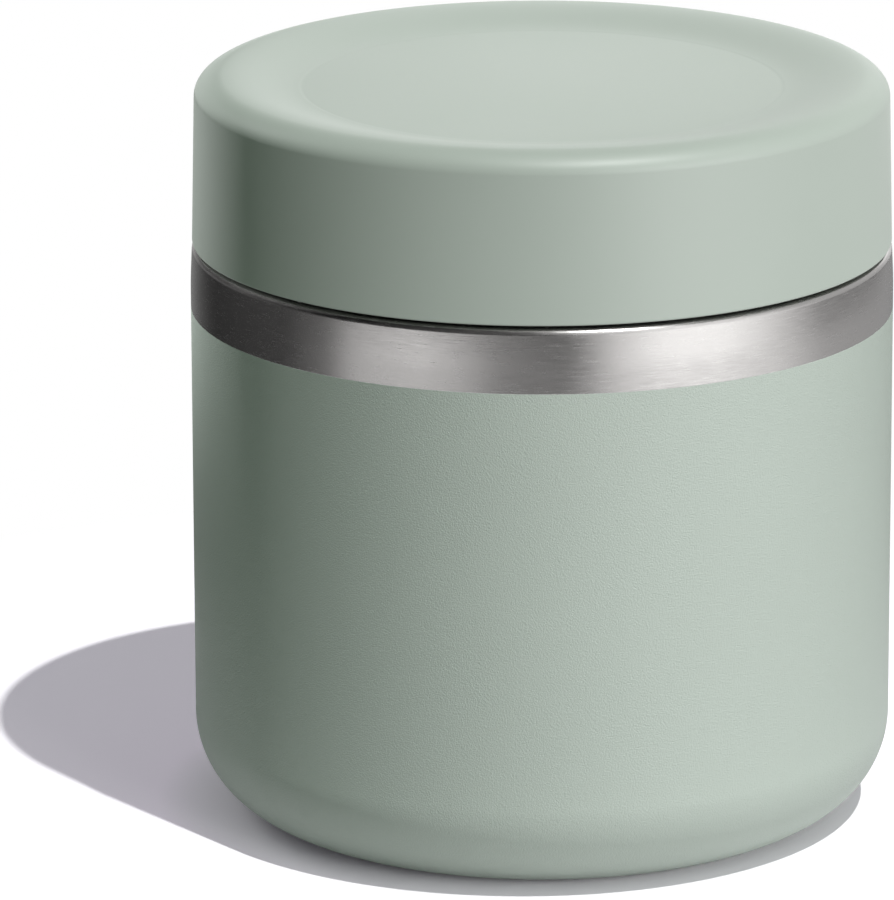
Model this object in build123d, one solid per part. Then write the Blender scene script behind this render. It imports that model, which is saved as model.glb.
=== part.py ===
from build123d import *
import os

# Insulated food jar: a double-walled steel jar with a screw lid.
# Millimetres, +Z up, the foot stands on z = 0 and the jar's axis is the Z axis.

# --- jar body -----------------------------------------------------------------
BODY_RADIUS = 57.5
BODY_HEIGHT = 95.65  # from the foot to the shoulder
FOOT_CORNER_RADIUS = 16.0
FOOT_WIDTH = 4.0
SHELL_THICKNESS = 0.6
BAND_HEIGHT = 10.65  # bare steel between the coat and the shoulder
BAND_TAPER = 0.27
BAND_TAPER_HEIGHT = 6.0
BAND_TAPER_BLEND = 60.0
SHOULDER_RADIUS = 1.0
COAT_THICKNESS = 0.15
COAT_FOOT_GAP = 0.25  # bare height between the floor and the coat

# --- neck and thread ----------------------------------------------------------
NECK_HEIGHT = 16.35  # from the shoulder to the rim
NECK_ROOT_RADIUS = 1.2
THREAD_LEAD = 10.0
THREAD_STARTS = 2
THREAD_HEIGHT = 1.25
THREAD_CLEARANCE = 0.35
THREAD_PLAY = 0.35
THREAD_SINK = 0.3
NECK_THREAD_RISE = 3.6  # from the shoulder to the middle of the ridge's lower end
NECK_THREAD_TURNS = 0.8
NECK_THREAD_WIDTH = 2.4
NECK_THREAD_CREST = 0.9
LID_THREAD_DELAY = 60.0  # degrees from the neck ridge's lower end to the lid ridge's
LID_THREAD_TURNS = 0.65
LID_THREAD_WIDTH = 2.0
LID_THREAD_CREST = 1.0
LID_THREAD_FADE_RADIUS = 40.0

# --- food vessel and vacuum space ---------------------------------------------
LINER_THICKNESS = 0.5
NECK_VACUUM_GAP = 1.9
FLOOR_VACUUM_GAP = 8.7  # between the base plate and the food vessel
CAVITY_CORNER_RADIUS = 14.0
LIP_RADIUS = 0.8
FOIL_THICKNESS = 0.15
FOIL_TOP_GAP = 1.65  # from the foil's upper edge to the shoulder

# --- base ---------------------------------------------------------------------
BASE_THICKNESS = 0.6
BASE_STEP_WIDTH = 1.7
BASE_RECESS = 2.2
BASE_BEND_RADIUS = 0.8
DIMPLE_RADIUS = 5.0
DIMPLE_DEPTH = 1.2
DIMPLE_TAPER = 1.0
PORT_RADIUS = 0.9
SEAL_BEAD_RADIUS = 3.2
SEAL_BEAD_THICKNESS = 0.8
COVER_THICKNESS = 0.5
COVER_CLEARANCE = 0.1
GETTER_RADIUS = 4.5
GETTER_THICKNESS = 1.6
GETTER_INSET = 15.8  # from the recess's wall to the middle of the getter
CLIP_THICKNESS = 0.3
CLIP_WIDTH = 5.0
CLIP_FOOT = 3.0
CLIP_CLEARANCE = 0.1

# --- lid ----------------------------------------------------------------------
LID_SETBACK = 0.3  # the lid's lower edge lies this far inside the body's wall
LID_GAP = 0.35  # between the shoulder and the lid's lower edge
LID_SIDE_DRAFT = 0.55  # how much the lid narrows towards its top
LID_EDGE_RADIUS = 0.7
LID_TOP_RADIUS_ACROSS = 4.7
LID_TOP_RADIUS_UP = 3.4
DISH_DEPTH = 2.2
DISH_SLOPE_WIDTH = 12.6
DISH_STEP = 0.1
DISH_STEP_WIDTH = 0.5
CAP_WALL = 2.0
CAP_TOP_WALL = 2.2
CAP_FIT = 0.05
INSERT_WALL = 3.0
INSERT_SETBACK = 0.6
WEB_THICKNESS = 1.8
FOAM_SPACE = 3.3  # above the web
FOAM_CLEARANCE = 0.3
PLUG_DEPTH = 10.0
PLUG_WALL = 1.6
PLUG_CORNER_RADIUS = 3.0
FACING_THICKNESS = 0.5
FACING_HEIGHT = 6.0
FACING_FIT = 0.05
SEAL_THICKNESS = 2.0
SEAL_CLEARANCE = 0.35
SEAL_LIP_THICKNESS = 0.6
SEAL_LIP_DEPTH = 1.2
SEAL_OVERHANG = 0.4
SNAP_HEIGHT = 2.4
SNAP_RADIUS = 0.35
SNAP_CLEARANCE = 0.05
KEY_COUNT = 12
KEY_WIDTH = 2.0
KEY_DEPTH = 1.0
KEY_DROP = 2.6  # how far a key reaches below the web's upper face
KEY_CLEARANCE = 0.15

# --- radii that follow, from the outside in -----------------------------------
lid_radius = BODY_RADIUS - LID_SETBACK
lid_side_top_radius = lid_radius - LID_SIDE_DRAFT
cap_bore_radius = lid_side_top_radius - CAP_WALL
insert_radius = cap_bore_radius - CAP_FIT
insert_bore_radius = insert_radius - INSERT_WALL
neck_crest_radius = insert_bore_radius - THREAD_CLEARANCE
neck_radius = neck_crest_radius - THREAD_HEIGHT
lid_crest_radius = insert_bore_radius - THREAD_HEIGHT
liner_radius = neck_radius - SHELL_THICKNESS - NECK_VACUUM_GAP
mouth_radius = liner_radius - LINER_THICKNESS
seal_bore_radius = mouth_radius - SEAL_CLEARANCE - SEAL_LIP_THICKNESS
plug_radius = seal_bore_radius - SEAL_CLEARANCE
facing_bore_radius = plug_radius - FACING_THICKNESS
plug_core_radius = facing_bore_radius - FACING_FIT
foam_plug_radius = plug_core_radius - PLUG_WALL - FOAM_CLEARANCE
foam_rim_radius = cap_bore_radius - KEY_DEPTH - FOAM_CLEARANCE
foot_outer_radius = BODY_RADIUS - FOOT_CORNER_RADIUS
foot_inner_radius = foot_outer_radius - FOOT_WIDTH
recess_radius = foot_inner_radius - BASE_STEP_WIDTH
getter_offset = recess_radius - GETTER_INSET
crest_radius = lid_side_top_radius - LID_TOP_RADIUS_ACROSS
dish_radius = crest_radius - DISH_SLOPE_WIDTH

# --- heights that follow, from the floor up -----------------------------------
coat_top = BODY_HEIGHT - BAND_HEIGHT
lid_bottom = BODY_HEIGHT + LID_GAP
insert_bottom = lid_bottom + INSERT_SETBACK
rim_height = BODY_HEIGHT + NECK_HEIGHT
web_bottom = rim_height + SEAL_THICKNESS
web_top = web_bottom + WEB_THICKNESS
cap_ceiling = web_top + FOAM_SPACE
dish_floor = cap_ceiling + CAP_TOP_WALL
lid_top = dish_floor + DISH_DEPTH
plug_bottom = web_bottom - PLUG_DEPTH
plug_core_bottom = plug_bottom + FACING_THICKNESS
plug_floor = plug_core_bottom + PLUG_WALL
facing_top = plug_bottom + FACING_HEIGHT
base_top = BASE_RECESS + BASE_THICKNESS
cavity_floor = base_top + FLOOR_VACUUM_GAP + LINER_THICKNESS


def turned(profile):
    """Turn a sketch of (radius, height) points about the jar's axis."""
    return revolve(Plane.XZ * profile, Axis.Z)


def rounded(corners):
    """A closed outline of (radius, height, rounding) corners, filled."""
    points = [(radius, height) for radius, height, _ in corners]
    roundings = [rounding for _, _, rounding in corners]
    return make_face(FilletPolyline(*points, radius=roundings, close=True))


def sheet_metal(path, thickness, side):
    """A sheet of even thickness that lies on one side of a path."""
    return make_face(offset(path, amount=thickness, side=side))


def body_outline():
    """The outside of the jar, from the foot's inner edge up to the neck's top edge."""
    points = [
        (foot_inner_radius, 0),
        (BODY_RADIUS, 0),
        (BODY_RADIUS, BODY_HEIGHT - BAND_TAPER_HEIGHT),
        (BODY_RADIUS - BAND_TAPER, BODY_HEIGHT),
        (neck_radius, BODY_HEIGHT),
        (neck_radius, rim_height - LINER_THICKNESS),
    ]
    roundings = [FOOT_CORNER_RADIUS, BAND_TAPER_BLEND, SHOULDER_RADIUS, NECK_ROOT_RADIUS]
    return FilletPolyline(*points, radius=roundings)


def coat_profile():
    """The coat's skin on the outside of the body, between the foot and the bare band."""
    skin = sheet_metal(body_outline(), COAT_THICKNESS, Side.LEFT)
    coat_height = coat_top - COAT_FOOT_GAP
    window = Pos(0, COAT_FOOT_GAP) * Rectangle(
        2 * BODY_RADIUS, coat_height, align=(Align.MIN, Align.MIN)
    )
    return skin & window


def thread_ridge(wall_radius, crest_radius, width, crest_width, bottom, turns):
    """One thread start: a trapezoid ridge that climbs anticlockwise at the lead."""
    corners = [
        (wall_radius, -width / 2),
        (wall_radius, width / 2),
        (crest_radius, crest_width / 2),
        (crest_radius, -crest_width / 2),
    ]
    climbs = [
        Edge.make_helix(THREAD_LEAD, turns * THREAD_LEAD, radius, center=(0, 0, bottom + rise))
        for radius, rise in corners
    ]
    flanks = [
        Face.make_surface_from_curves(climbs[i], climbs[(i + 1) % len(climbs)])
        for i in range(len(climbs))
    ]
    ends = [
        Face(Wire.make_polygon([climb @ end for climb in climbs], close=True)) for end in (0, 1)
    ]
    return Solid(Shell(flanks + ends))


def thread_starts(ridge):
    """Copies of a ridge, evenly spaced round the axis."""
    return [Rot(0, 0, 360 * i / THREAD_STARTS) * ridge for i in range(THREAD_STARTS)]


def neck_ridge():
    """One start of the neck's rolled thread, running out flat at both ends."""
    bottom = BODY_HEIGHT + NECK_THREAD_RISE
    ridge = thread_ridge(
        neck_radius - THREAD_SINK,
        neck_crest_radius,
        NECK_THREAD_WIDTH,
        NECK_THREAD_CREST,
        bottom,
        NECK_THREAD_TURNS,
    )
    fade_reach = (neck_crest_radius**2 - neck_radius**2) ** 0.5  # to where a flat cut leaves the crest
    run_out = Box(
        2 * THREAD_HEIGHT,
        3 * fade_reach,
        NECK_THREAD_WIDTH + THREAD_HEIGHT,
        align=(Align.MIN, Align.CENTER, Align.CENTER),
    )
    for turns in (0, NECK_THREAD_TURNS):
        ridge -= Rot(0, 0, 360 * turns) * Pos(neck_radius, 0, bottom + turns * THREAD_LEAD) * run_out
    return ridge


def lid_ridge():
    """One start of the lid's moulded thread, in the groove below the neck's ridge."""
    drop = (NECK_THREAD_WIDTH + LID_THREAD_CREST) / 2 + THREAD_PLAY
    delay_turns = LID_THREAD_DELAY / 360
    bottom = BODY_HEIGHT + NECK_THREAD_RISE - drop + delay_turns * THREAD_LEAD
    ridge = thread_ridge(
        insert_bore_radius + THREAD_SINK,
        lid_crest_radius,
        LID_THREAD_WIDTH,
        LID_THREAD_CREST,
        bottom,
        LID_THREAD_TURNS,
    )
    run_out = Cylinder(LID_THREAD_FADE_RADIUS, LID_THREAD_WIDTH + THREAD_HEIGHT)
    offset_out = insert_bore_radius - LID_THREAD_FADE_RADIUS
    for turns in (0, LID_THREAD_TURNS):
        ridge -= Rot(0, 0, 360 * turns) * Pos(offset_out, 0, bottom + turns * THREAD_LEAD) * run_out
    return Rot(0, 0, LID_THREAD_DELAY) * ridge


def make_outer_shell():
    """Outer steel wall with its foot ring, shoulder and threaded neck."""
    wall = sheet_metal(body_outline(), SHELL_THICKNESS, Side.LEFT) - coat_profile()
    shell = turned(wall)
    for ridge in thread_starts(neck_ridge()):
        shell += ridge
    return shell


def make_powder_coat():
    """Coloured coat, flush with the bare band above it."""
    return turned(coat_profile())


def make_inner_liner():
    """Food vessel, with a lip that closes the vacuum space at the rim."""
    inside = FilletPolyline(
        (0, cavity_floor),
        (mouth_radius, cavity_floor),
        (mouth_radius, rim_height),
        (neck_radius, rim_height),
        radius=[CAVITY_CORNER_RADIUS, LIP_RADIUS],
    )
    return turned(sheet_metal(inside, LINER_THICKNESS, Side.RIGHT))


def make_heat_foil():
    """Foil wrapped round the straight wall of the food vessel."""
    bottom = cavity_floor + CAVITY_CORNER_RADIUS
    wrap_height = BODY_HEIGHT - FOIL_TOP_GAP - bottom
    wrap = Pos(liner_radius, bottom) * Rectangle(
        FOIL_THICKNESS, wrap_height, align=(Align.MIN, Align.MIN)
    )
    return turned(wrap)


def make_base_pan():
    """Base plate, recessed above the foot, with the evacuation port in its dimple."""
    underside = FilletPolyline(
        (PORT_RADIUS, BASE_RECESS + DIMPLE_DEPTH),
        (DIMPLE_RADIUS - DIMPLE_TAPER, BASE_RECESS + DIMPLE_DEPTH),
        (DIMPLE_RADIUS, BASE_RECESS),
        (recess_radius, BASE_RECESS),
        (recess_radius, 0),
        (foot_inner_radius, 0),
        radius=[BASE_BEND_RADIUS / 2, BASE_BEND_RADIUS / 2, BASE_BEND_RADIUS, BASE_BEND_RADIUS],
    )
    return turned(sheet_metal(underside, BASE_THICKNESS, Side.LEFT))


def make_vacuum_seal():
    """Sealing bead that fills the evacuation port from below."""
    ceiling = BASE_RECESS + DIMPLE_DEPTH
    bead = rounded(
        [
            (0, ceiling - SEAL_BEAD_THICKNESS, 0),
            (SEAL_BEAD_RADIUS, ceiling - SEAL_BEAD_THICKNESS, SEAL_BEAD_THICKNESS / 2),
            (SEAL_BEAD_RADIUS, ceiling, 0),
            (PORT_RADIUS, ceiling, 0),
            (PORT_RADIUS, ceiling + BASE_THICKNESS, 0),
            (0, ceiling + BASE_THICKNESS, 0),
        ]
    )
    return turned(bead)


def make_base_cover():
    """Thin disc in the base recess that hides the sealing bead."""
    radius = recess_radius - BASE_BEND_RADIUS - COVER_CLEARANCE
    disc = rounded(
        [
            (0, BASE_RECESS - COVER_THICKNESS, 0),
            (radius, BASE_RECESS - COVER_THICKNESS, COVER_THICKNESS / 3),
            (radius, BASE_RECESS, 0),
            (0, BASE_RECESS, 0),
        ]
    )
    return turned(disc)


def make_getter():
    """Getter tablet that lies on the base plate, inside the vacuum space."""
    tablet = Cylinder(
        GETTER_RADIUS, GETTER_THICKNESS, align=(Align.CENTER, Align.CENTER, Align.MIN)
    )
    return Pos(getter_offset, 0, base_top) * tablet


def make_getter_clip():
    """Strap over the getter, its two feet welded to the base plate."""
    half_inside = GETTER_RADIUS + CLIP_CLEARANCE
    leg_outer = half_inside + CLIP_THICKNESS
    foot_end = leg_outer + CLIP_FOOT
    top = GETTER_THICKNESS + CLIP_THICKNESS
    outline = Polyline(
        (-foot_end, 0),
        (-foot_end, CLIP_THICKNESS),
        (-leg_outer, CLIP_THICKNESS),
        (-leg_outer, top),
        (leg_outer, top),
        (leg_outer, CLIP_THICKNESS),
        (foot_end, CLIP_THICKNESS),
        (foot_end, 0),
        (half_inside, 0),
        (half_inside, GETTER_THICKNESS),
        (-half_inside, GETTER_THICKNESS),
        (-half_inside, 0),
        close=True,
    )
    strap = extrude(Plane.XZ * make_face(outline), CLIP_WIDTH / 2, both=True)
    return Pos(getter_offset, 0, base_top) * strap


def cap_profile():
    """Section of the lid's cover: drafted side, rounded crest and dished top."""
    side_top = (lid_side_top_radius, lid_top - LID_TOP_RADIUS_UP)
    crest = (crest_radius, lid_top)
    dish_edge = (dish_radius, dish_floor + DISH_STEP)
    side_rise = lid_top - LID_TOP_RADIUS_UP - lid_bottom
    side_lean = LID_SIDE_DRAFT / side_rise
    round_handle = 0.552
    side_handle = round_handle * LID_TOP_RADIUS_UP
    crest_handle = round_handle * LID_TOP_RADIUS_ACROSS
    slope_handle = DISH_SLOPE_WIDTH / 3
    edge_drop = DISH_DEPTH / 6
    crest_round = Bezier(
        side_top,
        (side_top[0] - side_handle * side_lean, side_top[1] + side_handle),
        (crest[0] + crest_handle, crest[1]),
        crest,
    )
    dish_slope = Bezier(
        crest,
        (crest[0] - slope_handle, crest[1]),
        (dish_edge[0] + slope_handle, dish_edge[1] + edge_drop),
        dish_edge,
    )
    inside = Polyline(
        dish_edge,
        (dish_radius - DISH_STEP_WIDTH, dish_floor),
        (0, dish_floor),
        (0, cap_ceiling),
        (cap_bore_radius, cap_ceiling),
        (cap_bore_radius, lid_bottom),
        (lid_radius, lid_bottom),
        side_top,
    )
    section = make_face(crest_round + dish_slope + inside)
    lower_corners = section.vertices().group_by(Axis.Y)[0].sort_by(Axis.X)
    return fillet(lower_corners[-1], LID_EDGE_RADIUS)


def snap_ring(radius, height, size):
    """A half-round ring on a cylinder, for the lid's snap bead or its groove."""
    return turned(Pos(radius, height) * Circle(size))


def key_blocks(depth, width, bottom, top):
    """Blocks evenly spaced round the inside of the lid's cover."""
    block = Pos(cap_bore_radius + CAP_WALL / 4, 0, bottom) * Box(
        depth + CAP_WALL / 4,
        width,
        top - bottom,
        align=(Align.MAX, Align.CENTER, Align.MIN),
    )
    return [Rot(0, 0, 360 * i / KEY_COUNT) * block for i in range(KEY_COUNT)]


def make_lid_cap():
    """Outer cover of the lid, with keys and a snap groove for the inner shell."""
    cap = turned(cap_profile())
    cap -= snap_ring(cap_bore_radius, lid_bottom + SNAP_HEIGHT, SNAP_RADIUS + SNAP_CLEARANCE)
    for key in key_blocks(KEY_DEPTH, KEY_WIDTH, web_top - KEY_DROP, cap_ceiling):
        cap += key
    return cap


def make_lid_insert():
    """Inner shell of the lid: internal thread, web over the gasket and plug cup."""
    section = rounded(
        [
            (0, plug_core_bottom, 0),
            (plug_core_radius, plug_core_bottom, PLUG_CORNER_RADIUS - FACING_THICKNESS),
            (plug_core_radius, facing_top, 0),
            (plug_radius, facing_top, 0),
            (plug_radius, web_bottom, 0),
            (insert_bore_radius, web_bottom, SEAL_CLEARANCE),
            (insert_bore_radius, insert_bottom, INSERT_WALL / 5),
            (insert_radius, insert_bottom, INSERT_WALL / 5),
            (insert_radius, web_top, INSERT_WALL / 10),
            (plug_core_radius - PLUG_WALL, web_top, INSERT_WALL / 10),
            (plug_core_radius - PLUG_WALL, plug_floor, PLUG_WALL),
            (0, plug_floor, 0),
        ]
    )
    insert = turned(section)
    insert += snap_ring(insert_radius, lid_bottom + SNAP_HEIGHT, SNAP_RADIUS)
    notch_depth = KEY_DEPTH + KEY_CLEARANCE
    notch_width = KEY_WIDTH + 2 * KEY_CLEARANCE
    notch_bottom = web_top - KEY_DROP - KEY_CLEARANCE
    for notch in key_blocks(notch_depth, notch_width, notch_bottom, cap_ceiling):
        insert -= notch
    for ridge in thread_starts(lid_ridge()):
        insert += ridge
    return insert


def make_lid_foam():
    """Foam puck that fills the plug cup and the space under the cover."""
    section = rounded(
        [
            (0, plug_floor, 0),
            (foam_plug_radius, plug_floor, PLUG_WALL),
            (foam_plug_radius, web_top, 0),
            (foam_rim_radius, web_top, 0),
            (foam_rim_radius, cap_ceiling, FOAM_SPACE / 4),
            (0, cap_ceiling, 0),
        ]
    )
    return turned(section)


def make_lid_liner():
    """Steel facing pressed over the plug, the lid's side of the food space."""
    outside = FilletPolyline(
        (0, plug_bottom),
        (plug_radius, plug_bottom),
        (plug_radius, facing_top),
        radius=[PLUG_CORNER_RADIUS],
    )
    return turned(sheet_metal(outside, FACING_THICKNESS, Side.LEFT))


def make_seal_ring():
    """Silicone gasket: a flat ring on the rim and a lip that reaches into the mouth."""
    outer_radius = neck_radius + SEAL_OVERHANG
    lip_radius = seal_bore_radius + SEAL_LIP_THICKNESS
    lip_bottom = rim_height - SEAL_LIP_DEPTH
    section = rounded(
        [
            (seal_bore_radius, web_bottom, 0),
            (outer_radius, web_bottom, 0),
            (outer_radius, rim_height, SEAL_THICKNESS / 5),
            (lip_radius, rim_height, 0),
            (lip_radius, lip_bottom, SEAL_LIP_THICKNESS / 3),
            (seal_bore_radius, lip_bottom, SEAL_LIP_THICKNESS / 3),
        ]
    )
    return turned(section)


PIECES = {
    "outer_shell": make_outer_shell,
    "powder_coat": make_powder_coat,
    "inner_liner": make_inner_liner,
    "heat_foil": make_heat_foil,
    "base_pan": make_base_pan,
    "vacuum_seal": make_vacuum_seal,
    "base_cover": make_base_cover,
    "getter": make_getter,
    "getter_clip": make_getter_clip,
    "lid_cap": make_lid_cap,
    "lid_insert": make_lid_insert,
    "lid_foam": make_lid_foam,
    "lid_liner": make_lid_liner,
    "seal_ring": make_seal_ring,
}

os.makedirs("parts", exist_ok=True)
for name, make in PIECES.items():
    export_step(make(), f"parts/{name}.step")
print(f"height {lid_top:.2f}, rim {rim_height:.2f}, neck {neck_radius:.2f}, mouth {mouth_radius:.2f}")
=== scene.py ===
"""Looks of a double-walled food jar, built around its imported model."""

import math

import bmesh
import bpy
from mathutils import Matrix, Vector
from mathutils.geometry import interpolate_bezier


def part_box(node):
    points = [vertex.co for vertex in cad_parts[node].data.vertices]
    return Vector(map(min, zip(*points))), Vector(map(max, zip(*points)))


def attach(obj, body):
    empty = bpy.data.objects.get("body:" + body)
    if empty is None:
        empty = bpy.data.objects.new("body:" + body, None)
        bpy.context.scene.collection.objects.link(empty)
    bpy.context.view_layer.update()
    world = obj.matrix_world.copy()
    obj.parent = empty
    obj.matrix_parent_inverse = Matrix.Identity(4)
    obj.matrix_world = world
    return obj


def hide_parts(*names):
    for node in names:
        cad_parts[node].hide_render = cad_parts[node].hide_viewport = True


bl_info = {
    "name": "Insulated Food Jar",
    "version": (1, 0, 0),
    "blender": (4, 5, 0),
    "location": "3D Viewport > Sidebar > Food Jar",
    "description": "Models and finishes the pieces of a double-walled steel food jar",
    "category": "Add Mesh",
}

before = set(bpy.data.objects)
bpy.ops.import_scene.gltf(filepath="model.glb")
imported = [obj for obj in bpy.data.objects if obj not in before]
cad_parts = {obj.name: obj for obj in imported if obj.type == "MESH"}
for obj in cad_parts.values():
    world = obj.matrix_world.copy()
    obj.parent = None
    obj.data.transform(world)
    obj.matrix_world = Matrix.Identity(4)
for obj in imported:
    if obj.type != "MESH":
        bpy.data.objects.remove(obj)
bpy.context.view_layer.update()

MM = 0.001
PHOTO_WIDTH = 894
PHOTO_HEIGHT = 900
SENSOR_SIZE = 36
TURN_STEPS = 256
FULL_TURN = 2 * math.pi
SHARP_ANGLE = math.radians(40)
MERGE_DISTANCE = 0.0001 * MM

# Segments of a rounded corner: at least so many, and more for each millimetre of its radius.
ROUND_SEGMENTS = 8
SEGMENTS_PER_MM = 1.5

# Length of the handles that bend a curve through a quarter of an ellipse, in radii.
QUARTER_HANDLE = 0.552

# How far a thread's ridge still stands out at its very end, as a share of its height.
RIDGE_END = 0.1

KEY_COUNT = 12
WEB_CORNER = 0.35 * MM
GASKET_FIT = 0.35 * MM
GASKET_EDGE = 0.1 * MM
GASKET_CORNER = 0.4 * MM


class Extent:
    """Outer radius, lowest point and highest point of a round CAD node."""

    def __init__(self, node):
        low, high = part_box(node)
        self.radius = min(high.x, high.y, -low.x, -low.y)
        self.bottom = low.z
        self.top = high.z


COAT = Extent("powder_coat")
VESSEL = Extent("inner_liner")
PLATE = Extent("base_pan")
DISC = Extent("base_cover")
LID = Extent("lid_cap")
INNER = Extent("lid_insert")
FACING = Extent("lid_liner")
FOAM = Extent("lid_foam")
GASKET = Extent("seal_ring")
BODY_RADIUS = COAT.radius
NECK_RADIUS = VESSEL.radius
RIM_HEIGHT = VESSEL.top


# --- sizes and finishes that a user can change ---


def kind_of_setting(make, **options):
    """A function that makes settings of one kind from a name, a description and a default."""

    def setting(name, description, default):
        return make(name=name, description=description, default=default, **options)

    return setting


amount = kind_of_setting(bpy.props.FloatProperty, min=0)
share = kind_of_setting(bpy.props.FloatProperty, subtype="FACTOR", min=0, max=1)
colour = kind_of_setting(bpy.props.FloatVectorProperty, subtype="COLOR", min=0, max=1)
metres = kind_of_setting(bpy.props.FloatProperty, unit="LENGTH", precision=5)
radians = kind_of_setting(bpy.props.FloatProperty, subtype="ANGLE")


def mm(name, description, millimetres):
    """A length, its default given in millimetres."""
    return metres(name, description, millimetres * MM)


def angle(name, description, degrees):
    """An angle, its default given in degrees."""
    return radians(name, description, math.radians(degrees))


class BodySizes(bpy.types.PropertyGroup):
    """Sizes of the steel jar that its solids don't give directly."""

    foot_round: mm("Foot round", "Radius of the corner between wall and foot", 16)
    foot_width: mm("Foot width", "Width of the flat ring that the jar stands on", 4)
    coat: mm("Coat", "Thickness of the powder coat", 0.15)
    coat_lip: mm("Coat lip", "Rounding of the coat's upper edge", 0.06)
    wall: mm("Wall", "Thickness of the outer wall", 0.6)
    shoulder_drop: mm("Shoulder", "From the rim down to the shoulder", 16.6)
    shoulder_round: mm("Shoulder round", "Radius of the band's upper edge", 1.0)
    taper: mm("Taper", "How far the band's upper end leans in", 0.27)
    taper_height: mm("Taper height", "Height of the band's leaning part", 6)
    taper_blend: mm("Taper blend", "Radius between the band's two parts", 60)
    neck_root: mm("Neck root", "Radius between the shoulder and the neck", 1.2)


class VesselSizes(bpy.types.PropertyGroup):
    """Sizes of the food vessel."""

    wall: mm("Wall", "Thickness of the food vessel", 0.5)
    lip_width: mm("Lip width", "From the neck's outside to the mouth", 3)
    lip_round: mm("Lip round", "Radius of the lip's inner edge", 0.8)
    corner: mm("Corner", "Radius of the vessel's lower corner", 14)


class BaseSizes(bpy.types.PropertyGroup):
    """Sizes of the recessed base."""

    plate: mm("Plate", "Thickness of the base plate", 0.6)
    step_width: mm("Step width", "From the plate's edge to the recess", 1.7)
    recess: mm("Recess", "Depth of the recess", 2.2)
    bend: mm("Bend", "Radius of the plate's bends", 0.8)
    dimple_radius: mm("Dimple", "Radius of the sealing dimple", 5)
    dimple_depth: mm("Dimple depth", "Depth of the sealing dimple", 1.2)
    dimple_taper: mm("Dimple taper", "Width of the dimple's sloping wall", 1)
    port_radius: mm("Port", "Radius of the evacuation port", 0.9)


class LidSizes(bpy.types.PropertyGroup):
    """Sizes of the lid that its solids don't give directly."""

    draft: mm("Draft", "How much the side narrows towards the top", 0.55)
    edge_round: mm("Edge round", "Radius of the cover's lower edge", 0.3)
    inner_round: mm("Inner round", "Radius of the corner inside the cover", 0.7)
    crest_across: mm("Crest across", "Width of the rounded upper edge", 4.7)
    crest_up: mm("Crest up", "Height of the rounded upper edge", 3.4)
    dish_depth: mm("Dish depth", "From the crest down to the flat middle", 2.2)
    dish_slope: mm("Dish slope", "Width of the slope inside the crest", 12.6)
    step: mm("Step", "Small step at the edge of the flat middle", 0.1)
    step_width: mm("Step width", "Width of that small step", 0.5)
    cover_wall: mm("Cover wall", "Wall of the lid's cover", 2)
    cover_fit: mm("Cover fit", "Gap between the cover and the inner shell", 0.05)
    key_width: mm("Key width", "Width of the keys between cover and inner shell", 2)
    key_depth: mm("Key depth", "How far the keys stand in", 1)
    key_drop: mm("Key drop", "How far the keys reach down beside the web", 2.6)
    key_gap: mm("Key gap", "Gap round a key in its notch", 0.15)
    snap_height: mm("Snap height", "From the cover's lower edge to the snap ring", 2.4)
    snap: mm("Snap", "How far the snap ring stands out", 0.35)
    inner_wall: mm("Inner wall", "Wall of the threaded inner shell", 3)
    web: mm("Web", "Thickness of the web over the gasket", 1.8)
    plug_wall: mm("Plug wall", "Wall of the plug cup", 1.6)
    plug_round: mm("Plug round", "Radius of the plug's lower corner", 3)
    facing: mm("Facing", "Thickness of the plug's steel facing", 0.5)
    gasket_lip: mm("Gasket lip", "Thickness of the gasket's lip", 0.6)


class ThreadSizes(bpy.types.PropertyGroup):
    """Sizes of the two-start thread on the neck and in the lid."""

    lead: mm("Lead", "Rise of one turn", 10)
    height: mm("Height", "How far a ridge stands out of its wall", 1.25)
    sink: mm("Sink", "How deep a ridge's foot lies in its wall", 0.3)
    crest_round: mm("Crest round", "Rounding of a ridge's crest", 0.25)
    fade: angle("Fade", "Angle over which a ridge runs out at each end", 14)
    neck_rise: mm("Neck rise", "From the shoulder to the neck ridge's lower end", 3.85)
    neck_width: mm("Neck ridge", "Width of the neck's ridge at its foot", 2.4)
    neck_crest: mm("Neck crest", "Width of the neck's ridge at its crest", 0.9)
    neck_sweep: angle("Neck sweep", "Angle that the neck's ridge climbs through", 288)
    lid_drop: mm("Lid drop", "How far the lid's ridge runs below the neck's", 2.05)
    lid_width: mm("Lid ridge", "Width of the lid's ridge at its foot", 2)
    lid_crest: mm("Lid crest", "Width of the lid's ridge at its crest", 1)
    lid_sweep: angle("Lid sweep", "Angle that the lid's ridge climbs through", 234)
    lid_delay: angle("Lid delay", "Angle from the neck ridge's lower end to the lid's", 60)


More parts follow.
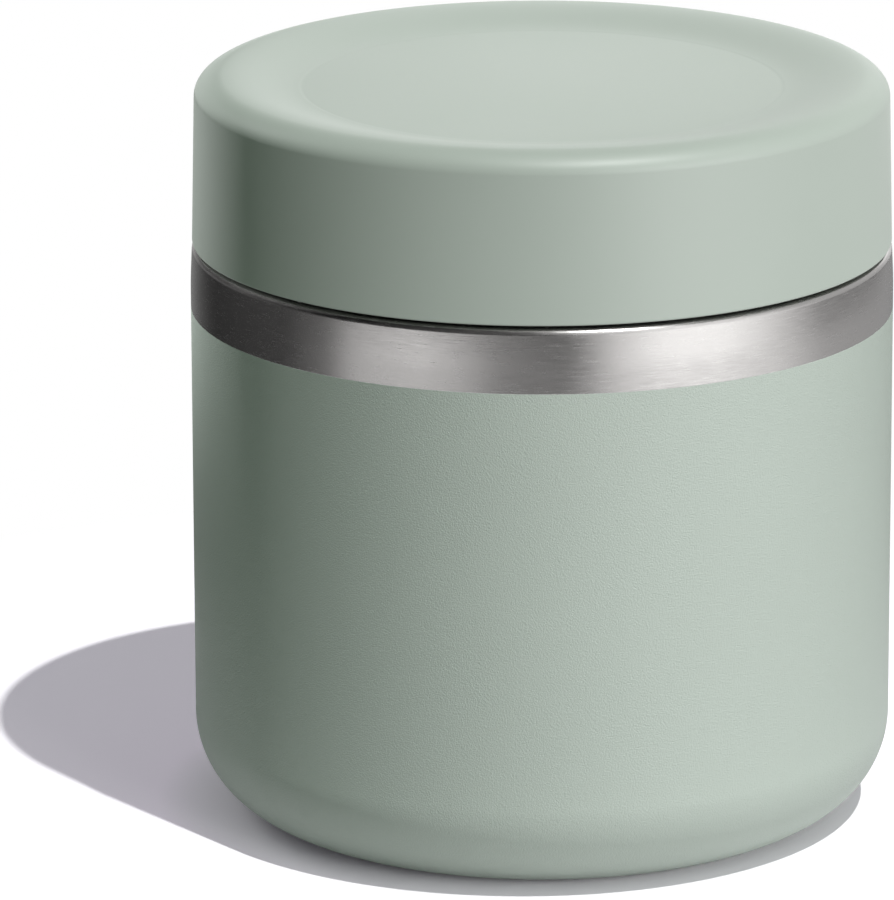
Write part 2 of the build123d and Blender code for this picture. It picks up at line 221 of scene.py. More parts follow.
class Finishes(bpy.types.PropertyGroup):
    """Colours and grain of the jar's finishes."""

    coat: colour("Coat", "Powder coat on the body", (0.45, 0.498, 0.46))
    coat_grain: mm("Coat grain", "Size of the coat's fine grain", 0.27)
    coat_relief: mm("Coat relief", "Height of the coat's grain", 0.11)
    coat_roughness: share("Coat roughness", "Roughness of the coat", 0.55)
    cover: colour("Lid cover", "Moulded cover of the lid", (0.423, 0.465, 0.428))
    cover_roughness: share("Cover roughness", "Roughness of the lid's cover", 0.50)
    steel: colour("Steel", "Brushed steel of the band and the neck", (0.62, 0.605, 0.595))
    steel_roughness: share("Steel roughness", "Roughness of the brushed steel", 0.24)
    vessel: colour("Vessel", "Satin steel of the food vessel", (0.62, 0.612, 0.6))
    inner: colour("Inner shell", "Threaded inner shell of the lid", (0.17, 0.19, 0.175))
    silicone: colour("Silicone", "Gasket", (0.50, 0.53, 0.50))
    foam: colour("Foam", "Insulation in the lid", (0.80, 0.76, 0.64))
    foil: colour("Foil", "Wrap round the food vessel", (0.80, 0.80, 0.81))
    solder: colour("Solder", "Bead in the evacuation port", (0.45, 0.45, 0.47))
    getter: colour("Getter", "Tablet in the vacuum space", (0.12, 0.12, 0.13))


class StudioSettings(bpy.types.PropertyGroup):
    """Camera, floor and lamps."""

    pitch: angle("Pitch", "How far the camera looks down", 15.9)
    distance: mm("Distance", "From the camera to the point it looks at", 1350)
    target: mm("Target height", "Height of the point that the camera looks at", 59.6)
    focal: amount("Focal length", "Focal length in pixels of the picture", 8194.5)
    axis_column: amount("Axis column", "Picture column of the jar's axis", 541.95)
    ambient: colour("Ambient", "Even light from all round", (0.03, 0.09, 0.035))
    floor: colour("Floor", "Floor as the camera sees it", (0.99, 0.98, 1.0))
    near_bounce: colour("Near bounce", "Floor as it lights the jar, close to it", (0.62,) * 3)
    front_bounce: colour("Front bounce", "Floor as it lights the jar from the front", (0.28,) * 3)
    back_bounce: colour("Back bounce", "Floor as it lights the jar from behind", (0.02,) * 3)
    front: angle("Front", "Azimuth from which the floor bounces most", -20)
    bounce_from: mm("Bounce from", "Radius from which the floor bounces less", 58)
    bounce_to: mm("Bounce to", "Radius beyond which its bounce is even", 85)
    floor_glow: colour("Floor glow", "Glow that keeps the lit floor white", (0.255, 0.19, 0.275))
    # Painted contact shade: the floor's glow is off inside the first radius and grows to full by
    # the second, so the floor darkens round the jar's foot.
    painted_shade_inner_radius: mm("Glow from", "Radius inside which the floor doesn't glow", 43)
    painted_shade_outer_radius: mm("Glow full", "Radius beyond which it glows in full", 64)
    white_from: mm("White from", "Radius from which the floor fades to white", 130)
    white_beyond: mm("White beyond", "Radius beyond which the floor is plain white", 180)
    card_radius: mm("Card radius", "From the axis to the cards round the jar", 150)


SETTINGS = {
    "jar_body": BodySizes,
    "jar_vessel": VesselSizes,
    "jar_base": BaseSizes,
    "jar_lid": LidSizes,
    "jar_thread": ThreadSizes,
    "jar_finishes": Finishes,
    "jar_studio": StudioSettings,
}


# --- shaping ---


def outline(shape, *corners):
    """Draw (radius, height, rounding) corners in the XZ plane, and close what misses the axis."""
    points = [shape.verts.new((radius, 0, height)) for radius, height, _ in corners]
    for first, second in zip(points, points[1:]):
        shape.edges.new((first, second))
    if corners[0][0]:
        shape.edges.new((points[-1], points[0]))
    for index, (radius, height, rounding) in enumerate(corners):
        if not rounding:
            continue
        before = corners[index - 1]
        after = corners[(index + 1) % len(corners)]
        to_before = Vector((before[0] - radius, before[1] - height))
        to_after = Vector((after[0] - radius, after[1] - height))
        bmesh.ops.bevel(
            shape,
            geom=[points[index]],
            offset=rounding / math.tan(to_before.angle(to_after) / 2),
            offset_type="OFFSET",
            affect="VERTICES",
            segments=ROUND_SEGMENTS + int(SEGMENTS_PER_MM * rounding / MM),
            profile=0.5,
            material=-1,
        )


def curve(start, start_handle, end_handle, end, steps=28):
    """Corners along a curve from start to end, without its first point."""
    handles = [Vector((*point, 0)) for point in (start, start_handle, end_handle, end)]
    points = interpolate_bezier(*handles, steps)
    return [(point.x, point.y, 0) for point in points[1:]]


def spun(shape, sweep, steps, rise=0, merged=False):
    """Spin a shape round the jar's axis, with a rise at each step."""
    bmesh.ops.spin(
        shape,
        geom=shape.verts[:] + shape.edges[:],
        cent=(0, 0, 0),
        axis=(0, 0, 1),
        dvec=(0, 0, rise),
        angle=sweep,
        steps=steps,
        use_merge=merged,
    )


def turn(shape):
    """Spin an outline once round the jar's axis into a closed surface."""
    spun(shape, FULL_TURN, TURN_STEPS, merged=True)
    bmesh.ops.remove_doubles(shape, verts=shape.verts, dist=MERGE_DISTANCE)
    bmesh.ops.recalc_face_normals(shape, faces=shape.faces)


def turned(*corners):
    """A round piece from its outline."""
    shape = bmesh.new()
    outline(shape, *corners)
    turn(shape)
    return shape


def rotated(shape, points, by_angle):
    """Rotate points of a shape about the jar's axis."""
    bmesh.ops.rotate(shape, verts=points, matrix=Matrix.Rotation(by_angle, 3, "Z"))


def linked(name, content):
    """A new object in the scene that holds a mesh, a lamp or a camera."""
    piece = bpy.data.objects.new(name, content)
    bpy.context.scene.collection.objects.link(piece)
    return piece


def added(mesh_name, shape):
    """A new object that holds a finished bmesh."""
    mesh = bpy.data.meshes.new(mesh_name)
    shape.to_mesh(mesh)
    shape.free()
    return linked(mesh_name, mesh)


def combined(shape, tool, operation):
    """Join a second bmesh to the first with UNION, or cut it away with DIFFERENCE."""
    target = added("target", shape)
    cutter = added("cutter", tool)
    carve = target.modifiers.new("Carve", "BOOLEAN")
    carve.object = cutter
    carve.operation = operation
    carve.solver = "EXACT"
    result = bmesh.new()
    result.from_object(target, bpy.context.evaluated_depsgraph_get())
    for used in (target, cutter):
        bpy.data.meshes.remove(used.data)
    bmesh.ops.remove_doubles(result, verts=result.verts, dist=MERGE_DISTANCE)
    return result


def climbing_ridges(wall_radius, reach, width, crest_width, bottom, sweep, delay):
    """A two-start thread: ridges that climb round the axis and fade at both ends."""
    sizes = bpy.context.scene.jar_thread
    foot = wall_radius - math.copysign(sizes.sink, reach)
    crest = wall_radius + reach
    ridge = bmesh.new()
    outline(
        ridge,
        (foot, bottom - width / 2, 0),
        (crest, bottom - crest_width / 2, sizes.crest_round),
        (crest, bottom + crest_width / 2, sizes.crest_round),
        (foot, bottom + width / 2, 0),
    )
    steps = int(TURN_STEPS * sweep / FULL_TURN)
    spun(ridge, sweep, steps, rise=sizes.lead * sweep / FULL_TURN / steps)
    bmesh.ops.holes_fill(ridge, edges=[edge for edge in ridge.edges if edge.is_boundary], sides=0)
    for point in ridge.verts:
        radius = math.hypot(point.co.x, point.co.y)
        swept = math.atan2(point.co.y, point.co.x) % FULL_TURN
        from_end = min(abs(swept), abs(sweep - swept), abs(FULL_TURN - swept))
        shown = math.sin(min(1, from_end / sizes.fade) * math.pi / 2)
        faded = foot + (radius - foot) * (RIDGE_END + (1 - RIDGE_END) * shown)
        point.co.x *= faded / radius
        point.co.y *= faded / radius
    bmesh.ops.recalc_face_normals(ridge, faces=ridge.faces)
    rotated(ridge, ridge.verts, delay)
    twin = bmesh.ops.duplicate(ridge, geom=ridge.verts[:] + ridge.edges[:] + ridge.faces[:])
    twin_points = [part for part in twin["geom"] if isinstance(part, bmesh.types.BMVert)]
    rotated(ridge, twin_points, math.pi)
    return ridge


def ring_of_blocks(count, depth, width, outer_radius, bottom, top):
    """Blocks evenly spaced round the axis, their outer faces at one radius."""
    blocks = bmesh.new()
    for index in range(count):
        block = bmesh.ops.create_cube(blocks, size=1)["verts"]
        bmesh.ops.scale(blocks, verts=block, vec=(depth, width, top - bottom))
        middle = Vector((outer_radius - depth / 2, 0, (bottom + top) / 2))
        bmesh.ops.translate(blocks, verts=block, vec=middle)
        rotated(blocks, block, FULL_TURN * index / count)
    return blocks


def placed(name, shape, finish, body, slot, *nodes):
    """Turn a finished shape into a smooth piece that rides on a body and stands for its nodes."""
    for face in shape.faces:
        face.smooth = True
    piece = added(name, shape)
    piece.data.set_sharp_from_angle(angle=SHARP_ANGLE)
    piece.data.materials.append(finish)
    shading = piece.modifiers.new("Even shading", "WEIGHTED_NORMAL")
    shading.keep_sharp = True
    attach(piece, body)
    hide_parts(*nodes)
    return piece


# --- shader values and nodes ---


class Value:
    """A shader value whose operators add the Math nodes that work them out."""

    def __init__(self, finish, socket):
        self.finish = finish
        self.socket = socket

    def worked_out(self, operation, first, second):
        """The Math node that joins two values."""
        return self.finish.node("ShaderNodeMath", {0: first, 1: second}, operation=operation)

    def __add__(self, other):
        return self.worked_out("ADD", self, other)

    def __radd__(self, other):
        return self.worked_out("ADD", other, self)

    def __sub__(self, other):
        return self.worked_out("SUBTRACT", self, other)

    def __rsub__(self, other):
        return self.worked_out("SUBTRACT", other, self)

    def __mul__(self, other):
        return self.worked_out("MULTIPLY", self, other)


class Finish:
    """The nodes of a material, or of the world."""

    def __init__(self, owner):
        owner.use_nodes = True
        self.owner = owner
        self.tree = owner.node_tree
        self.tree.nodes.clear()

    def node(self, kind, inputs, output=0, stops=(), **settings):
        """Add a node: its settings first, then the values or links of its sockets."""
        added_node = self.tree.nodes.new(kind)
        for name, setting in settings.items():
            setattr(added_node, name, setting)
        if stops:
            ramp = added_node.color_ramp.elements
            for position, _ in stops[2:]:
                ramp.new(position)
            for element, (position, tint) in zip(ramp, stops):
                element.position = position
                element.color = (*tint, 1)
        for name, given in inputs.items():
            if isinstance(given, Value):
                self.tree.links.new(given.socket, added_node.inputs[name])
            else:
                added_node.inputs[name].default_value = given
        if not added_node.outputs:
            return None
        return Value(self, added_node.outputs[output])

    def place(self, scale=(1, 1, 1)):
        """Object coordinates, stretched by a scale for each axis."""
        point = self.node("ShaderNodeTexCoord", {}, output="Object")
        return self.node("ShaderNodeMapping", {"Vector": point, "Scale": scale})

    def noise(self, size, place=None, detail=2.0, roughness=0.5):
        """Noise with features of about a size, in the units of the place."""
        place = place or self.place()
        sockets = {"Vector": place, "Scale": 1 / size, "Detail": detail, "Roughness": roughness}
        return self.node("ShaderNodeTexNoise", sockets)

    def cells(self, size, place=None):
        """Distance from the middles of cells of about a size."""
        sockets = {"Vector": place or self.place(), "Scale": 1 / size}
        return self.node("ShaderNodeTexVoronoi", sockets)

    def from_axis(self, place):
        """Distance of a place from the origin."""
        return self.node("ShaderNodeVectorMath", {0: place}, output="Value", operation="LENGTH")

    def glow(self, tint, strength=1.0):
        """A surface that shines by itself."""
        return self.node("ShaderNodeEmission", {"Color": tint, "Strength": strength})

    def mixed(self, share_of_second, first, second):
        """Mix two colours."""
        inputs = {0: share_of_second, 6: first, 7: second}
        return self.node("ShaderNodeMix", inputs, output=2, data_type="RGBA")

    def shaded(self, tint, variation, strength):
        """A colour made lighter and darker by a variation that runs about 0.5."""
        dark = tuple(part * (1 - strength) for part in tint[:3]) + (1,)
        light = tuple(min(1, part * (1 + strength)) for part in tint[:3]) + (1,)
        return self.mixed(variation, dark, light)

    def bump(self, height, relief):
        """A normal from a height that runs from 0 to 1 over the relief, in metres."""
        return self.node("ShaderNodeBump", {"Height": height, "Distance": relief, "Strength": 1.0})

    def surface(self, **sockets):
        """End the material in a Principled shader. Underscores stand for spaces."""
        named = {name.replace("_", " "): given for name, given in sockets.items()}
        shader = self.node("ShaderNodeBsdfPrincipled", named)
        self.node("ShaderNodeOutputMaterial", {"Surface": shader})
        return self.owner


def material(name):
    """A new material and its nodes."""
    return Finish(bpy.data.materials.new(name))


# --- finishes ---


def coat_finish(looks):
    """Powder coat: a matt colour with a fine pebbled grain."""
    coat = material("powder_coat_finish")
    grain = coat.noise(looks.coat_grain, detail=1.5, roughness=0.6)
    specks = coat.noise(looks.coat_grain / 2, detail=1)
    cloud = coat.noise(30 * MM, detail=1)
    relief = grain * 0.75 + specks * 0.25
    return coat.surface(
        Base_Color=coat.shaded(looks.coat, relief * 0.7 + cloud * 0.3, 0.06),
        Roughness=looks.coat_roughness + (grain - 0.5) * 0.12,
        Normal=coat.bump(relief, looks.coat_relief),
        IOR=1.5,
    )


def cover_finish(looks):
    """Moulded plastic of the lid's cover: satin, with a texture too fine to see singly."""
    cover = material("lid_cover_finish")
    cloud = cover.noise(24 * MM)
    return cover.surface(
        Base_Color=cover.shaded(looks.cover, cloud, 0.02),
        Roughness=looks.cover_roughness + (cloud - 0.5) * 0.06,
        Normal=cover.bump(cover.noise(0.22 * MM, detail=1), 0.004 * MM),
        Diffuse_Roughness=0.4,
        IOR=1.65,
        Sheen_Weight=0.12,
        Sheen_Roughness=0.5,
    )


def brushed_finish(name, tint, roughness, streak_share=0.07):
    """Steel that was brushed as it turned, with fine streaks round the axis."""
    steel = material(name)
    long_streaks = steel.noise(1.0, steel.place((70, 70, 3200)), detail=3, roughness=0.65)
    wisps = steel.noise(1.0, steel.place((340, 340, 4400)))
    streaks = long_streaks * 0.3 + wisps * 0.7
    return steel.surface(
        Base_Color=steel.shaded(tint, streaks, streak_share),
        Metallic=1.0,
        Roughness=roughness + (wisps - 0.5) * 0.18,
        Normal=steel.bump(streaks, 0.011 * MM),
        Anisotropic=0.45,
        Anisotropic_Rotation=0.25,
    )


def turned_finish(name, tint, roughness):
    """Steel that was turned or pressed flat, with fine rings about the axis."""
    steel = material(name)
    from_axis = steel.from_axis(steel.place((1, 1, 0)))
    along = steel.node("ShaderNodeCombineXYZ", {"X": from_axis * 3200})
    rings = steel.noise(1.0, along, detail=3, roughness=0.6)
    return steel.surface(
        Base_Color=steel.shaded(tint, rings * 0.6 + steel.noise(9 * MM) * 0.4, 0.09),
        Metallic=1.0,
        Roughness=roughness + (rings - 0.5) * 0.2,
        Normal=steel.bump(rings, 0.005 * MM),
    )


def vessel_finish(looks):
    """Satin steel of the food vessel, blasted and then polished."""
    steel = material("vessel_finish")
    rings = steel.noise(1.0, steel.place((20, 20, 900)))
    return steel.surface(
        Base_Color=steel.shaded(looks.vessel, rings, 0.07),
        Metallic=1.0,
        Roughness=0.30 + (rings - 0.5) * 0.15,
        Normal=steel.bump(steel.noise(0.25 * MM) * 0.6 + rings * 0.4, 0.012 * MM),
    )


def inner_shell_finish(looks):
    """Moulded plastic of the threaded inner shell, with a spark-eroded texture."""
    plastic = material("inner_shell_finish")
    texture = plastic.noise(0.35 * MM)
    flow = plastic.noise(12 * MM, plastic.place((1, 1, 0.3)))
    return plastic.surface(
        Base_Color=plastic.shaded(looks.inner, flow * 0.6 + texture * 0.4, 0.08),
        Roughness=0.48 + (texture - 0.5) * 0.15,
        Normal=plastic.bump(texture, 0.02 * MM),
    )


def silicone_finish(looks):
    """Soft silicone with faint flow marks and a dusty surface."""
    rubber = material("silicone_finish")
    dust = rubber.noise(0.6 * MM, detail=3)
    return rubber.surface(
        Base_Color=rubber.shaded(looks.silicone, dust * 0.5 + rubber.noise(15 * MM) * 0.5, 0.07),
        Roughness=0.55 + (dust - 0.5) * 0.2,
        Normal=rubber.bump(dust, 0.01 * MM),
    )


def foam_finish(looks):
    """Rigid foam with open cells."""
    foam = material("foam_finish")
    cells = foam.cells(0.9 * MM)
    return foam.surface(
        Base_Color=foam.shaded(looks.foam, cells * 0.5 + foam.noise(8 * MM) * 0.5, 0.14),
        Roughness=0.95,
        Normal=foam.bump(cells, 0.25 * MM),
    )


def foil_finish(looks):
    """Bright foil with the creases of wrapping."""
    foil = material("foil_finish")
    place = foil.place((1, 1, 0.6))
    crinkle = foil.noise(1.5 * MM, place, detail=3)
    return foil.surface(
        Base_Color=foil.shaded(looks.foil, crinkle, 0.06),
        Metallic=1.0,
        Roughness=0.16 + crinkle * 0.12,
        Normal=foil.bump(foil.cells(6 * MM, place) * 0.6 + crinkle * 0.4, 0.2 * MM),
    )


def solder_finish(looks):
    """Dull metal of the bead that was melted into the port."""
    solder = material("solder_finish")
    ripples = solder.noise(1.1 * MM, detail=3)
    return solder.surface(
        Base_Color=solder.shaded(looks.solder, ripples, 0.15),
        Metallic=1.0,
        Roughness=0.42 + (ripples - 0.5) * 0.3,
        Normal=solder.bump(ripples, 0.08 * MM),
    )


def getter_finish(looks):
    """Pressed dark powder of the getter tablet."""
    tablet = material("getter_finish")
    grains = tablet.noise(0.3 * MM, detail=4, roughness=0.7)
    return tablet.surface(
        Base_Color=tablet.shaded(looks.getter, grains, 0.3),
        Metallic=0.4,
        Roughness=0.75 + (grains - 0.5) * 0.2,
        Normal=tablet.bump(grains, 0.05 * MM),
    )


# --- pieces of the jar ---


class FOODJAR_OT_body_coat(bpy.types.Operator):
    """Powder coat on the body, from the foot up to the bare band"""

    bl_idname = "food_jar.body_coat"
    bl_label = "Body Coat"

    def execute(self, context):
        sizes = context.scene.jar_body
        inside = BODY_RADIUS - sizes.coat
        foot_edge = BODY_RADIUS - sizes.foot_round
        shape = bmesh.new()
        outline(
            shape,
            (foot_edge, 0, 0),
            (BODY_RADIUS, 0, sizes.foot_round),
            (BODY_RADIUS, COAT.top, sizes.coat_lip),
            (inside, COAT.top, 0),
            (inside, sizes.coat, sizes.foot_round - sizes.coat),
            (foot_edge, sizes.coat, 0),
        )
        bmesh.ops.bisect_plane(
            shape,
            geom=shape.verts[:] + shape.edges[:],
            dist=MERGE_DISTANCE,
            plane_co=(0, 0, COAT.bottom),
            plane_no=(0, 0, 1),
            clear_inner=True,
        )
        shape.edges.new([point for point in shape.verts if len(point.link_edges) == 1])
        turn(shape)
        finish = coat_finish(context.scene.jar_finishes)
        placed("body_coat", shape, finish, "jar", "coat", "powder_coat")
        return {"FINISHED"}


class FOODJAR_OT_steel_shell(bpy.types.Operator):
    """Outer steel wall with its foot, bare band, shoulder and threaded neck"""

    bl_idname = "food_jar.steel_shell"
    bl_label = "Steel Shell"

    def execute(self, context):
        sizes = context.scene.jar_body
        thread = context.scene.jar_thread
        shoulder = RIM_HEIGHT - sizes.shoulder_drop
        neck_top = RIM_HEIGHT - context.scene.jar_vessel.wall
        foot_edge = BODY_RADIUS - sizes.foot_round
        under_coat = BODY_RADIUS - sizes.coat
        bare = math.acos(1 - COAT.bottom / sizes.foot_round)
        bare_radius = foot_edge + sizes.foot_round * math.sin(bare)
        bare_corner = foot_edge + sizes.foot_round * math.tan(bare / 2)
        arc = sizes.foot_round - sizes.coat
        step_radius = foot_edge + arc * math.sin(bare)
        step_height = sizes.foot_round - arc * math.cos(bare)
        bend_height = step_height + (under_coat - step_radius) * math.tan(bare)
        taper_start = shoulder - sizes.taper_height
        taper_radius = BODY_RADIUS - sizes.taper
        wall = sizes.wall
        shape = turned(
            (foot_edge - sizes.foot_width, 0, 0),
            (bare_corner, 0, sizes.foot_round),
            (bare_radius, COAT.bottom, 0),
            (step_radius, step_height, 0),
            (under_coat, bend_height, arc),
            (under_coat, COAT.top, 0),
            (BODY_RADIUS, COAT.top, sizes.coat_lip),
            (BODY_RADIUS, taper_start, sizes.taper_blend),
            (taper_radius, shoulder, sizes.shoulder_round),
            (NECK_RADIUS, shoulder, sizes.neck_root),
            (NECK_RADIUS, neck_top, 0),
            (NECK_RADIUS - wall, neck_top, 0),
            (NECK_RADIUS - wall, shoulder - wall, wall),
            (taper_radius - wall, shoulder - wall, wall / 2),
            (BODY_RADIUS - wall, taper_start, 0),
            (BODY_RADIUS - wall, wall, sizes.foot_round - wall),
            (foot_edge - sizes.foot_width, wall, 0),
        )
        ridges = climbing_ridges(
            NECK_RADIUS,
            thread.height,
            thread.neck_width,
            thread.neck_crest,
            shoulder + thread.neck_rise,
            thread.neck_sweep,
            0,
        )
        shape = combined(shape, ridges, "UNION")
        looks = context.scene.jar_finishes
        finish = brushed_finish("band_finish", looks.steel, looks.steel_roughness)
        placed("steel_shell", shape, finish, "jar", "steel", "outer_shell")
        return {"FINISHED"}


class FOODJAR_OT_food_vessel(bpy.types.Operator):
    """Food vessel whose lip closes the vacuum space at the rim"""

    bl_idname = "food_jar.food_vessel"
    bl_label = "Food Vessel"

    def execute(self, context):
        sizes = context.scene.jar_vessel
        mouth = NECK_RADIUS - sizes.lip_width
        outside = mouth + sizes.wall
        shape = turned(
            (0, VESSEL.bottom + sizes.wall, 0),
            (mouth, VESSEL.bottom + sizes.wall, sizes.corner),
            (mouth, RIM_HEIGHT, sizes.lip_round),
            (NECK_RADIUS, RIM_HEIGHT, sizes.wall / 3),
            (NECK_RADIUS, RIM_HEIGHT - sizes.wall, 0),
            (outside, RIM_HEIGHT - sizes.wall, sizes.lip_round - sizes.wall),
            (outside, VESSEL.bottom, sizes.corner + sizes.wall),
            (0, VESSEL.bottom, 0),
        )
        finish = vessel_finish(context.scene.jar_finishes)
        placed("food_vessel", shape, finish, "jar", "vessel_steel", "inner_liner")
        return {"FINISHED"}


class FOODJAR_OT_base(bpy.types.Operator):
    """Recessed base plate with its sealing dimple, and the disc that covers it"""

    bl_idname = "food_jar.base"
    bl_label = "Base"

    def execute(self, context):
        sizes = context.scene.jar_base
        looks = context.scene.jar_finishes
        recess_radius = PLATE.radius - sizes.step_width
        ceiling = sizes.recess + sizes.dimple_depth
        lean = math.atan2(sizes.dimple_depth, sizes.dimple_taper)
        shift = sizes.plate * math.tan(lean / 2)
        bend = sizes.bend
        plate = turned(
            (sizes.port_radius, ceiling, 0),
            (sizes.dimple_radius - sizes.dimple_taper, ceiling, bend / 2),
            (sizes.dimple_radius, sizes.recess, bend / 2),
            (recess_radius, sizes.recess, bend),
            (recess_radius, 0, bend),
            (PLATE.radius, 0, 0),
            (PLATE.radius, sizes.plate, 0),
            (recess_radius + sizes.plate, sizes.plate, bend / 4),
            (recess_radius + sizes.plate, PLATE.top - sizes.dimple_depth, bend),
            (sizes.dimple_radius + shift, PLATE.top - sizes.dimple_depth, bend / 2),
            (sizes.dimple_radius - sizes.dimple_taper + shift, PLATE.top, bend / 2),
            (sizes.port_radius, PLATE.top, 0),
        )
        disc_edge = (DISC.top - DISC.bottom) / 3
        disc = turned(
            (0, DISC.bottom, 0),
            (DISC.radius, DISC.bottom, disc_edge),
            (DISC.radius, DISC.top, 0),
            (0, DISC.top, 0),
        )
        plate_finish = turned_finish("base_plate_finish", looks.steel, roughness=0.36)
        disc_finish = turned_finish("base_disc_finish", looks.steel, roughness=0.28)
        placed("base_plate", plate, plate_finish, "jar", "steel", "base_pan")
        placed("base_disc", disc, disc_finish, "jar", "steel", "base_cover")
        return {"FINISHED"}


class FOODJAR_OT_lid_cover(bpy.types.Operator):
    """Outer cover of the lid, with its dished top and the keys inside it"""

    bl_idname = "food_jar.lid_cover"
    bl_label = "Lid Cover"

    def execute(self, context):
        sizes = context.scene.jar_lid
        foot_radius = LID.radius + sizes.edge_round * sizes.draft / (LID.top - LID.bottom)
        side_top = (foot_radius - sizes.draft, LID.top - sizes.crest_up)
        crest = (side_top[0] - sizes.crest_across, LID.top)
        floor = LID.top - sizes.dish_depth
        dish_edge = (crest[0] - sizes.dish_slope, floor + sizes.step)
        bore = side_top[0] - sizes.cover_wall
        snap = LID.bottom + sizes.snap_height
        groove = sizes.snap + sizes.cover_fit
        side_handle = QUARTER_HANDLE * sizes.crest_up
        side_lean = sizes.draft / (side_top[1] - LID.bottom)
        crest_handle = QUARTER_HANDLE * sizes.crest_across
        slope_handle = sizes.dish_slope / 3
        rounded_edge = curve(
            crest,
            (crest[0] + crest_handle, LID.top),
            (side_top[0] - side_handle * side_lean, side_top[1] + side_handle),
            side_top,
        )
        slope = curve(
            dish_edge,
            (dish_edge[0] + slope_handle, dish_edge[1] + sizes.dish_depth / 12),
            (crest[0] - slope_handle, LID.top),
            crest,
        )
        shape = turned(
            (0, floor, 0),
            (dish_edge[0] - sizes.step_width, floor, 0),
            (*dish_edge, 0),
            *slope,
            *rounded_edge,
            (foot_radius, LID.bottom, sizes.edge_round),
            (bore, LID.bottom, sizes.edge_round / 2),
            (bore, snap - groove, 0),
            (bore + groove, snap, groove / 2),
            (bore, snap + groove, 0),
            (bore, FOAM.top, sizes.inner_round),
            (0, FOAM.top, 0),
        )
        keys = ring_of_blocks(
            KEY_COUNT,
            sizes.key_depth + sizes.cover_wall / 4,
            sizes.key_width,
            bore + sizes.cover_wall / 4,
            INNER.top - sizes.key_drop,
            FOAM.top + sizes.cover_wall / 4,
        )
        shape = combined(shape, keys, "UNION")
        finish = cover_finish(context.scene.jar_finishes)
        placed("lid_cover", shape, finish, "lid", "cover_plastic", "lid_cap")
        return {"FINISHED"}


class FOODJAR_OT_lid_inner(bpy.types.Operator):
    """Threaded inner shell of the lid, with the web over the gasket and the plug cup"""

    bl_idname = "food_jar.lid_inner"
    bl_label = "Lid Inner Shell"

    def execute(self, context):
        sizes = context.scene.jar_lid
        thread = context.scene.jar_thread
        outside = LID.radius - sizes.draft - sizes.cover_wall - sizes.cover_fit
        bore = outside - sizes.inner_wall
        web_bottom = INNER.top - sizes.web
        core = FACING.radius - sizes.facing - sizes.cover_fit
        cup = core - sizes.plug_wall
        core_bottom = FACING.bottom + sizes.facing
        snap = LID.bottom + sizes.snap_height
        shape = turned(
            (0, core_bottom, 0),
            (core, core_bottom, sizes.plug_round - sizes.facing),
            (core, FACING.top, 0),
            (FACING.radius, FACING.top, 0),
            (FACING.radius, web_bottom, 0),
            (bore, web_bottom, WEB_CORNER),
            (bore, INNER.bottom, sizes.inner_wall / 5),
            (outside, INNER.bottom, sizes.inner_wall / 5),
            (outside, snap - sizes.snap, 0),
            (outside + sizes.snap, snap, sizes.snap / 2),
            (outside, snap + sizes.snap, 0),
            (outside, INNER.top, sizes.inner_wall / 10),
            (cup, INNER.top, sizes.inner_wall / 10),
            (cup, core_bottom + sizes.plug_wall, sizes.plug_wall),
            (0, core_bottom + sizes.plug_wall, 0),
        )
        notches = ring_of_blocks(
            KEY_COUNT,
            sizes.key_depth + sizes.key_gap + 2 * sizes.cover_fit,
            sizes.key_width + 2 * sizes.key_gap,
            outside + 2 * sizes.cover_fit,
            INNER.top - sizes.key_drop - sizes.key_gap,
            FOAM.top,
        )
        shape = combined(shape, notches, "DIFFERENCE")
        shoulder = RIM_HEIGHT - context.scene.jar_body.shoulder_drop
        delay_rise = thread.lead * thread.lid_delay / FULL_TURN
        ridges = climbing_ridges(
            bore,
            -thread.height,
            thread.lid_width,
            thread.lid_crest,
            shoulder + thread.neck_rise - thread.lid_drop + delay_rise,
            thread.lid_sweep,
            thread.lid_delay,
        )
        shape = combined(shape, ridges, "UNION")
        finish = inner_shell_finish(context.scene.jar_finishes)
        placed("lid_inner", shape, finish, "lid", "inner_plastic", "lid_insert")
        return {"FINISHED"}


class FOODJAR_OT_plug_facing(bpy.types.Operator):
    """Steel facing pressed over the plug, on the lid's side of the food"""

    bl_idname = "food_jar.plug_facing"
    bl_label = "Plug Facing"

    def execute(self, context):
        sizes = context.scene.jar_lid
        inside = FACING.radius - sizes.facing
        shape = turned(
            (0, FACING.bottom, 0),
            (FACING.radius, FACING.bottom, sizes.plug_round),
            (FACING.radius, FACING.top, sizes.facing / 4),
            (inside, FACING.top, 0),
            (inside, FACING.bottom + sizes.facing, sizes.plug_round - sizes.facing),
            (0, FACING.bottom + sizes.facing, 0),
        )
        looks = context.scene.jar_finishes
        finish = turned_finish("plug_facing_finish", looks.vessel, roughness=0.30)
        placed("plug_facing", shape, finish, "lid", "vessel_steel", "lid_liner")
        return {"FINISHED"}


class FOODJAR_OT_gasket(bpy.types.Operator):
    """Silicone gasket between the lid and the rim, with a lip in the mouth"""

    bl_idname = "food_jar.gasket"
    bl_label = "Gasket"

    def execute(self, context):
        sizes = context.scene.jar_lid
        mouth = NECK_RADIUS - context.scene.jar_vessel.lip_width
        lip_outside = mouth - GASKET_FIT
        lip_inside = lip_outside - sizes.gasket_lip
        shape = turned(
            (lip_inside, GASKET.top, GASKET_EDGE),
            (GASKET.radius, GASKET.top, GASKET_EDGE),
            (GASKET.radius, RIM_HEIGHT, GASKET_CORNER),
            (lip_outside, RIM_HEIGHT, GASKET_EDGE),
            (lip_outside, GASKET.bottom, sizes.gasket_lip / 3),
            (lip_inside, GASKET.bottom, sizes.gasket_lip / 3),
        )
        finish = silicone_finish(context.scene.jar_finishes)
        placed("gasket", shape, finish, "gasket", "silicone", "seal_ring")
        return {"FINISHED"}


